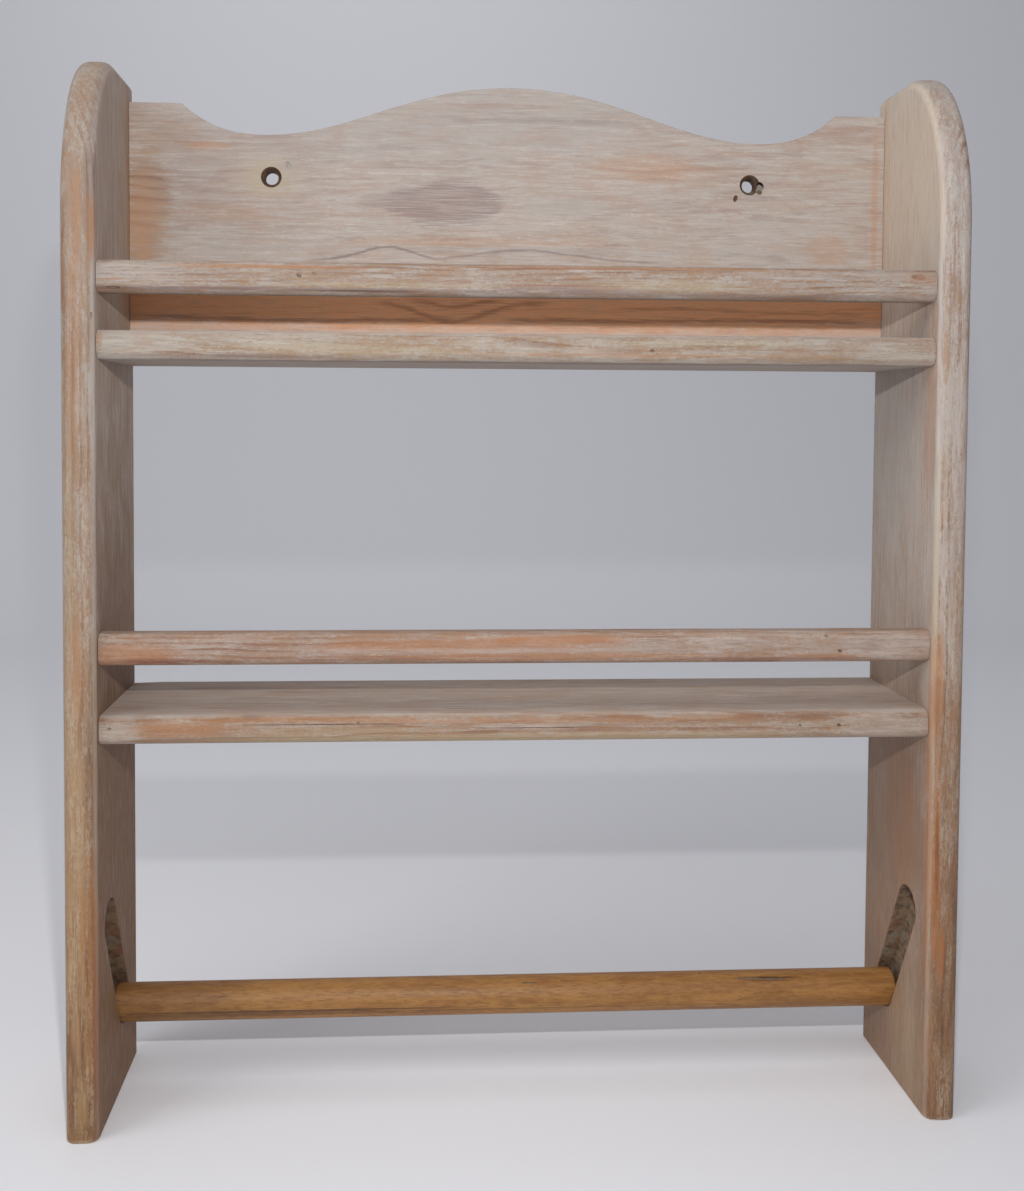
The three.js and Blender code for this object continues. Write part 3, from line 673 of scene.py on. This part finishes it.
def makeHardwood():
    finish, tree = startFinish("bareHardwood")
    shader = tree.nodes["Principled BSDF"]
    seed = hardwood["seed"]
    place = addNode(tree, "ShaderNodeTexCoord", {}).outputs["Object"]
    figure = streaks(tree, place, 0.045, 0.006, seed, 3.0, 0.5, 0.3)
    ripple = streaks(tree, place, 0.01, 0.0016, seed + 4, 3.0, 0.6, 0.5)
    pores = streaks(tree, place, 0.0048, 0.00075, seed + 8, 2.0, 0.6)
    band = streaks(tree, place, 0.25, 0.0045, seed + 12, 1.5)
    shade = total(tree, times(tree, figure, 0.5), times(tree, ripple, 0.5))
    colour = blend(tree, smooth(tree, shade, 0.36, 0.64), hardwood["deep"], hardwood["pale"])
    colour = blend(tree, times(tree, smooth(tree, band, 0.5, 0.75), 0.3), colour, hardwood["deep"])
    poreMask = times(tree, smooth(tree, pores, 0.54, 0.7), 0.5)
    colour = blend(tree, poreMask, colour, hardwood["pore"])
    ragged = swing(tree, ripple, 0.7)
    for x, z, halfX, halfZ, strength in barStreaks:
        mask = spotMask(tree, place, (x, 0, z), (halfX, 1.0, halfZ), ragged)
        colour = blend(tree, times(tree, mask, strength), colour, hardwood["streak"])
    tree.links.new(colour, shader.inputs["Base Color"])
    tree.links.new(calc(tree, "MULTIPLY_ADD", figure, 0.2, 0.42), shader.inputs["Roughness"])
    height = total(tree, times(tree, poreMask, -1.0), times(tree, ripple, 0.4))
    bump = addNode(tree, "ShaderNodeBump", {"Height": height, "Strength": 0.45, "Distance": 0.0003})
    tree.links.new(bump.outputs[0], shader.inputs["Normal"])
    return finish


def makeBeech():
    finish, tree = startFinish("beech")
    shader = tree.nodes["Principled BSDF"]
    seed = beech["seed"]
    place = addNode(tree, "ShaderNodeTexCoord", {}).outputs["Object"]
    figure = streaks(tree, place, 0.012, 0.0016, seed, 3.0)
    flecks = streaks(tree, place, 0.0022, 0.00035, seed + 5, 1.0)
    colour = blend(tree, smooth(tree, figure, 0.35, 0.65), beech["deep"], beech["pale"])
    colour = blend(tree, times(tree, smooth(tree, flecks, 0.58, 0.7), 0.5), colour, beech["fleck"])
    tree.links.new(colour, shader.inputs["Base Color"])
    tree.links.new(calc(tree, "MULTIPLY_ADD", figure, 0.2, 0.55), shader.inputs["Roughness"])
    bump = addNode(tree, "ShaderNodeBump", {"Height": flecks, "Strength": 0.3, "Distance": 0.0002})
    tree.links.new(bump.outputs[0], shader.inputs["Normal"])
    return finish


def paintPiece(piece, finish):
    piece.data.materials.clear()
    piece.data.materials.append(finish)


cutFinish = makeCutWood()
beechFinish = makeBeech()
print("materials ready")


# Side panels

sidePanel = {
    "archDepth": 0.055, "archHeight": 0.095, "archSteps": 28,
    "roundover": 0.006, "roundoverSteps": 7, "rearCorner": 0.004, "cornerSides": 48,
    "easedEdge": 0.0007, "slotRim": 0.0006,
}
rollSlot = {
    "radius": 0.01225, "depth": 0.0095, "sides": 64,
    "lower": (0.063, 0.049), "upper": (0.0315, 0.111),
}


def slotCutter(side, innerX, frontY):
    sign = 1 if side == "right" else -1
    lowY, lowZ = frontY + rollSlot["lower"][0], rollSlot["lower"][1]
    highY, highZ = frontY + rollSlot["upper"][0], rollSlot["upper"][1]
    start = (innerX - sign * 0.004, lowY, lowZ)
    end = (innerX + sign * rollSlot["depth"], lowY, lowZ)
    cutter = addRod("slot", rollSlot["radius"], start, end, rollSlot["sides"])
    up = Vector((0, highY - lowY, highZ - lowZ))
    pick(cutter, "VERT", lambda point: (point.co - Vector(start)).dot(up) > 0)
    bpy.ops.transform.translate(value=up)
    leaveEdit()
    return cutter


def panelWear(side, low):
    # small knocks on the front edge, as (across, back, height, size across, size back, size high)
    knocks = {
        "left": [
            (0.003, 0.0006, 0.331, 0.001, 0.0005, 0.004), (0.0145, 0.001, 0.214, 0.0012, 0.0007, 0.006),
            (0.0162, 0.003, 0.452, 0.001, 0.0012, 0.003),
        ],
        "right": [
            (0.002, 0.0, 0.5567, 0.0011, 0.0005, 0.0016), (0.007, 0.0, 0.5226, 0.0008, 0.0004, 0.0032),
            (0.0086, 0.0, 0.5143, 0.0006, 0.0004, 0.0022), (0.0145, 0.0008, 0.188, 0.0012, 0.0006, 0.004),
            (0.0032, 0.0006, 0.116, 0.0008, 0.0006, 0.005), (0.0055, 0.0002, 0.0, 0.004, 0.0012, 0.0011),
        ],
    }
    return [
        addPebble("knock", (low.x + across, low.y + back, height), (wide, deep, tall))
        for across, back, height, wide, deep, tall in knocks[side]
    ]


def makeSidePanel(side):
    low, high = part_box(side + "_side_panel")
    panel = addBlock(side + "Panel", low, high)
    paintPiece(panel, makeLimedPine(panel.name))
    arch = sidePanel["archDepth"]
    roundEdges(panel, lambda e: runsAlong(e, 0) and same(middle(e).y, low.y)
               and same(middle(e).z, high.z), arch, sidePanel["archSteps"])
    # the quarter circle is stretched down to the taller arch
    pick(panel, "VERT", lambda v: v.co.y < low.y + arch + 0.001
         and high.z - arch - 0.001 < v.co.z < high.z - 0.00001)
    bpy.ops.transform.resize(value=(1, 1, sidePanel["archHeight"] / arch), center_override=(0, 0, high.z))
    leaveEdit()
    roundEdges(panel, lambda e: (same(middle(e).x, low.x) or same(middle(e).x, high.x))
               and not facing(e, (0, 1, 0)) and not facing(e, (0, 0, -1)),
               sidePanel["roundover"], sidePanel["roundoverSteps"])
    roundEdges(panel, lambda e: facing(e, (0, 0, -1)) or (facing(e, (0, 1, 0)) and runsAlong(e, 2)),
               sidePanel["easedEdge"], 2)
    corner = sidePanel["rearCorner"]
    rearTop = addBlock("corner", (low.x - 0.01, high.y - corner, high.z - corner),
                       (high.x + 0.01, high.y + 0.01, high.z + 0.01))
    cutAway(rearTop, [addRod("quarter", corner, (low.x - 0.02, high.y - corner, high.z - corner),
                             (high.x + 0.02, high.y - corner, high.z - corner), sidePanel["cornerSides"])])
    innerX = low.x if side == "right" else high.x
    paintPiece(rearTop, panel.data.materials[0])
    cutAway(panel, [rearTop], keepFinish=True)
    cutAway(panel, [slotCutter(side, innerX, low.y)])
    slotTop = low.y + rollSlot["lower"][0] + rollSlot["radius"] + 0.002
    roundEdges(panel, lambda e: same(e.verts[0].co.x, innerX) and same(e.verts[1].co.x, innerX)
               and low.y + 0.012 < middle(e).y < slotTop and 0.03 < middle(e).z < 0.13,
               sidePanel["slotRim"], 2)
    cutAway(panel, boresFor(["_pin_"], side))
    cutAway(panel, panelWear(side, low), keepFinish=True)
    finishShape(panel)
    setOnBody(panel, rackBody, "limed_pine", side + "_side_panel")


# Shelves and guard rails

shelfShape = {"noseRadius": 0.005, "noseSteps": 7, "easedEdge": 0.0006}
railShape = {"radius": 0.005, "steps": 7}


def makeShelf(name, node, wear):
    low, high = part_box(node)
    shelf = addBlock(name, low, high)
    paintPiece(shelf, makeLimedPine(name))
    roundEdges(shelf, lambda e: runsAlong(e, 0) and same(middle(e).y, low.y),
               shelfShape["noseRadius"], shelfShape["noseSteps"])
    roundEdges(shelf, lambda e: runsAlong(e, 0) and same(middle(e).y, high.y), shelfShape["easedEdge"], 2)
    cutAway(shelf, boresFor([node.replace("_shelf", "_shelf_pin")], None) + wear(low, high))
    finishShape(shelf)
    setOnBody(shelf, rackBody, "limed_pine", node)


def makeRail(name, node, pinWord, wear):
    low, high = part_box(node)
    rail = addBlock(name, low, high)
    paintPiece(rail, makeLimedPine(name))
    roundEdges(rail, lambda e: runsAlong(e, 0), railShape["radius"], railShape["steps"])
    cutAway(rail, boresFor([pinWord], None) + wear(low, high))
    finishShape(rail)
    setOnBody(rail, rackBody, "limed_pine", node)


def nailDent(x, y, z, size=0.0009):
    return addPebble("dent", (x, y, z), (size * 1.5, size, size), (0, 0.4, 0))


def topShelfWear(low, high):
    return [
        nailDent(0.0712, low.y, high.z - 0.009),
        addPebble("knock", (-0.1984, low.y + 0.001, low.z + 0.001), (0.004, 0.0009, 0.0009)),
        addPebble("knock", (0.213, low.y + 0.0011, high.z - 0.0011), (0.005, 0.0009, 0.0008)),
    ]


def lowerShelfWear(low, high):
    # the rear left corner has lost a splinter
    splinter = addBlock("splinter", (low.x - 0.002, high.y - 0.0032, high.z - 0.0042),
                        (low.x + 0.0165, high.y + 0.002, high.z + 0.002))
    pick(splinter, "VERT", lambda v: v.co.x > low.x + 0.01)
    bpy.ops.transform.translate(value=(0, 0.0026, 0.003))
    leaveEdit()
    return [
        splinter, nailDent(0.1801, low.y, 0.2262, 0.0008), nailDent(0.1577, low.y, 0.2264, 0.0006),
        nailDent(-0.0905, low.y, 0.2298, 0.0006),
        addPebble("knock", (-0.226, low.y + 0.0006, 0.2275), (0.0018, 0.0008, 0.0012)),
        addPebble("knock", (-0.022, low.y + 0.0008, low.z + 0.0012), (0.006, 0.0008, 0.0009)),
    ]


def topRailWear(low, high):
    return [
        nailDent(-0.1231, low.y, 0.4751, 0.001), nailDent(-0.115, low.y, 0.4763, 0.0007),
        addPebble("knock", (-0.2225, low.y + 0.0009, 0.4678), (0.004, 0.0009, 0.0008)),
        addPebble("knock", (0.2185, low.y + 0.0004, 0.4782), (0.0022, 0.0006, 0.0014)),
    ]


def lowerRailWear(low, high):
    return [
        nailDent(0.1723, low.y + 0.0004, 0.2768, 0.0009), nailDent(0.1799, low.y, 0.2683, 0.0009),
        nailDent(0.1086, low.y + 0.0014, low.z + 0.0012, 0.0011),
        addPebble("knock", (-0.198, low.y + 0.0008, 0.2634), (0.005, 0.0008, 0.0008)),
    ]


# Back board

backBoard = {
    "shoulderX": 0.201, "shoulderZ": 0.587, "dipX": 0.152, "dipZ": 0.569, "crownZ": 0.6,
    "crownEase": 0.065, "dipEase": 0.098, "riseEase": 0.172, "riseTop": (0.186, 0.574),
    "columns": 120, "topEdge": 0.0009,
    "holeX": 0.147, "holeZ": 0.5435, "holeRadius": 0.004, "sinkRadius": 0.00625, "sinkDepth": 0.0035,
    "holeSides": 48,
}


def bezierHeight(points, x):
    # height of a curve from four (x, z) points, found at the share of its length that gives x
    low, high = 0.0, 1.0
    for _ in range(40):
        t = (low + high) / 2
        weights = ((1 - t) ** 3, 3 * t * (1 - t) ** 2, 3 * t * t * (1 - t), t ** 3)
        if sum(w * p[0] for w, p in zip(weights, points)) < x:
            low = t
        else:
            high = t
    return sum(w * p[1] for w, p in zip(weights, points))


def boardTop(x):
    b = backBoard
    x = abs(x)
    if x >= b["shoulderX"]:
        return b["shoulderZ"]
    if x >= b["dipX"]:
        shoulder = (b["shoulderX"], b["shoulderZ"])
        rise = [(b["dipX"], b["dipZ"]), (b["riseEase"], b["dipZ"]), b["riseTop"], shoulder]
        return bezierHeight(rise, x)
    dip = (b["dipX"], b["dipZ"])
    crown = [(0, b["crownZ"]), (b["crownEase"], b["crownZ"]), (b["dipEase"], b["dipZ"]), dip]
    return bezierHeight(crown, x)


def makeBackBoard():
    low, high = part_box("back_board")
    board = addBlock("backBoard", low, high)
    paintPiece(board, makeLimedPine("backBoard"))
    shoulder = backBoard["shoulderX"]
    columns = backBoard["columns"]
    cuts = [-shoulder + 2 * shoulder * i / columns for i in range(columns + 1)]
    for x in cuts:
        pick(board, "FACE", lambda face: True)
        bpy.ops.mesh.bisect(plane_co=(x, 0, 0), plane_no=(1, 0, 0))
        leaveEdit()
    for x in [low.x, high.x] + cuts:
        pick(board, "VERT", lambda v: same(v.co.x, x) and same(v.co.z, high.z))
        bpy.ops.transform.translate(value=(0, 0, boardTop(x) - high.z))
        leaveEdit()
    roundEdges(board, lambda e: any(f.normal.z > 0.5 for f in e.link_faces)
               and (facing(e, (0, -1, 0)) or facing(e, (0, 1, 0))), backBoard["topEdge"], 3)
    cutters = boresFor(["back_board_pin"], None)
    flare = (backBoard["sinkRadius"] - backBoard["holeRadius"]) / backBoard["sinkDepth"]
    sides = backBoard["holeSides"]
    holeX, z = backBoard["holeX"], backBoard["holeZ"]
    for x in (-holeX, holeX):
        cutters.append(addRod(
            "hole", backBoard["holeRadius"], (x, low.y - 0.002, z), (x, high.y + 0.002, z), sides))
        cutters.append(addRod(
            "sink", backBoard["sinkRadius"] + flare * 0.001, (x, low.y - 0.001, z),
            (x, low.y + backBoard["sinkDepth"], z), sides, backBoard["holeRadius"] - 0.0001))
    # the right hole is broken out on one side, and each hole has a small dent beside it
    cutters += [
        addPebble("chip", (holeX + 0.0056, low.y, z - 0.0012), (0.0032, 0.0022, 0.0034), (0, 0.5, 0)),
        addPebble("chip", (holeX + 0.0061, low.y, z - 0.0042), (0.0016, 0.0012, 0.0013)),
        addPebble("dent", (0.1382, low.y, 0.5352), (0.0013, 0.0008, 0.0021), (0, 0.3, 0)),
        addPebble("knock", (-0.1366, low.y, 0.5508), (0.0013, 0.0007, 0.0024), (0, -0.35, 0)),
    ]
    cutAway(board, cutters)
    finishShape(board, 24)
    setOnBody(board, rackBody, "limed_pine", "back_board")


# Kitchen-roll bar

rollBar = {"sides": 96, "chamfer": 0.0012, "rings": 60}


def makeRollBar():
    low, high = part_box("kitchen_roll_bar")
    centre = (low + high) / 2
    radius = (high.z - low.z) / 2
    bar = addRod("rollBar", radius, (low.x, centre.y, centre.z), (high.x, centre.y, centre.z),
                 rollBar["sides"])
    paintPiece(bar, makeHardwood())
    roundEdges(bar, lambda e: facing(e, (1, 0, 0)) or facing(e, (-1, 0, 0)), rollBar["chamfer"], 3)
    pick(bar, "EDGE", lambda e: runsAlong(e, 0))
    bpy.ops.mesh.subdivide(number_cuts=rollBar["rings"], smoothness=0)
    leaveEdit()
    crackZ = centre.z + radius * 0.846
    crackY = centre.y - radius * 0.533
    cutAway(bar, [
        addPebble("crack", (0.1455, crackY, crackZ), (0.0085, 0.001, 0.00045), (0, 0.03, 0)),
        addPebble("crack", (0.16, crackY - 0.0008, crackZ - 0.0005), (0.008, 0.0008, 0.0004), (0, 0.02, 0)),
        addPebble("pit", (0.116, crackY + 0.0045, crackZ + 0.0015), (0.0012, 0.0005, 0.0005)),
        addPebble("pit", (0.0105, crackY, crackZ), (0.003, 0.0006, 0.0003)),
    ])
    finishShape(bar, 40)
    setOnBody(bar, barBody, "bare_hardwood", "kitchen_roll_bar")


# Dowel pins

dowelPin = {"flutes": 14, "fluteDepth": 0.92, "chamfer": 0.0008}


def makeDowelPin(length, radius):
    # one fluted pin at the origin, for the pins of its size
    flutes = dowelPin["flutes"]
    pin = addRod("dowel", radius, (-length / 2, 0, 0), (length / 2, 0, 0), flutes * 4)
    paintPiece(pin, beechFinish)
    roundEdges(pin, lambda e: facing(e, (1, 0, 0)) or facing(e, (-1, 0, 0)), dowelPin["chamfer"], 2)
    pick(pin, "VERT", lambda v: Vector(v.co.yz).length > radius * 0.6
         and math.cos(math.atan2(v.co.z, v.co.y) * flutes) > 0.7)
    depth = dowelPin["fluteDepth"]
    bpy.ops.transform.resize(value=(1, depth, depth), center_override=(0, 0, 0))
    leaveEdit()
    finishShape(pin, 40)
    return pin


def placeDowelPins():
    patterns = {}
    for node in pinNodes:
        low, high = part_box(node)
        size = (round(high.x - low.x, 4), round((high.z - low.z) / 2, 4))
        if size not in patterns:
            patterns[size] = makeDowelPin(*size)
        pin = patterns[size].copy()
        pin.data = patterns[size].data.copy()
        bpy.context.collection.objects.link(pin)
        pin.name = "dowel_" + node
        pin.location = (low + high) / 2
        keepPlaceInMesh(pin)
        setOnBody(pin, rackBody, "beech_pin", node)
    for pattern in patterns.values():
        bpy.data.objects.remove(pattern)


makeSidePanel("left")
makeSidePanel("right")
makeShelf("topShelf", "top_shelf", topShelfWear)
makeShelf("lowerShelf", "lower_shelf", lowerShelfWear)
makeRail("topRail", "top_guard_rail", "top_rail_pin", topRailWear)
makeRail("lowerRail", "lower_guard_rail", "lower_rail_pin", lowerRailWear)
makeBackBoard()
makeRollBar()
placeDowelPins()
print("pieces modelled")


# Floor, light and camera

studio = {
    "floorSize": 6.0, "wallDistance": 1.9, "wallHeight": 3.0, "sweep": 0.5, "sweepSteps": 16,
    "paint": (0.88, 0.88, 0.91, 1), "paintRoughness": 0.8,
    "airColour": (0.6, 0.61, 0.64, 1), "airStrength": 0.46,
}
# softboxes as power, place, size and the point they face
softboxes = {
    "keyLight": (3.0, (-0.05, -0.66, 0.545), 0.02, (0, 0, 0.42)),
    "sideLight": (6.0, (-1.15, -0.6, 1.25), 0.9, (0, 0, 0.5)),
    "wallLight": (4, (-0.2, 0.8, 2.0), 1.2, (-0.1, 1.9, 1.0)),
    "topLight": (3.6, (-0.2, -0.55, 1.65), 1.1, (0, 0, 0.5)),
}


def makeFloor():
    makeActive(None)
    wallY = studio["wallDistance"]
    bpy.ops.mesh.primitive_plane_add(
        size=studio["floorSize"], location=(0, wallY - studio["floorSize"] / 2, 0))
    floor = bpy.context.object
    floor.name = "studioFloor"
    keepPlaceInMesh(floor)
    pick(floor, "EDGE", lambda e: same(middle(e).y, wallY))
    bpy.ops.mesh.extrude_region_move(TRANSFORM_OT_translate={"value": (0, 0, studio["wallHeight"])})
    leaveEdit()
    roundEdges(floor, lambda e: same(middle(e).y, wallY) and same(middle(e).z, 0),
               studio["sweep"], studio["sweepSteps"])
    makeActive(floor)
    bpy.ops.object.shade_smooth()
    paint = bpy.data.materials.new("studioPaint")
    paint.use_nodes = True
    shader = paint.node_tree.nodes["Principled BSDF"]
    shader.inputs["Base Color"].default_value = studio["paint"]
    shader.inputs["Roughness"].default_value = studio["paintRoughness"]
    floor.data.materials.append(paint)


def addSoftbox(name, power, place, size, target):
    lamp = bpy.data.lights.new(name, "AREA")
    lamp.energy = power
    lamp.shape = "DISK"
    lamp.size = size
    holder = bpy.data.objects.new(name, lamp)
    bpy.context.collection.objects.link(holder)
    holder.location = place
    holder.rotation_euler = (Vector(target) - Vector(place)).to_track_quat("-Z", "Y").to_euler()


makeFloor()
for lampName, settings in softboxes.items():
    addSoftbox(lampName, *settings)
world = bpy.data.worlds.new("studioAir")
bpy.context.scene.world = world
world.use_nodes = True
air = world.node_tree.nodes["Background"]
air.inputs["Color"].default_value = studio["airColour"]
air.inputs["Strength"].default_value = studio["airStrength"]
bpy.context.scene.view_settings.view_transform = "Standard"

cameraSet = {
    "place": (-0.063017, -0.7001771, 0.3974773), "turn": (87.812125, -0.333181, -3.213244),
    "lens": 36.2586, "shiftX": 0.0297045, "shiftY": -0.1092398,
}
lens = bpy.data.cameras.new("camera")
lens.lens = cameraSet["lens"]
lens.sensor_width = 36
lens.shift_x = cameraSet["shiftX"]
lens.shift_y = cameraSet["shiftY"]
camera = bpy.data.objects.new("camera", lens)
bpy.context.collection.objects.link(camera)
camera.location = cameraSet["place"]
camera.rotation_euler = [math.radians(angle) for angle in cameraSet["turn"]]
bpy.context.scene.camera = camera
print("floor, light and camera set")
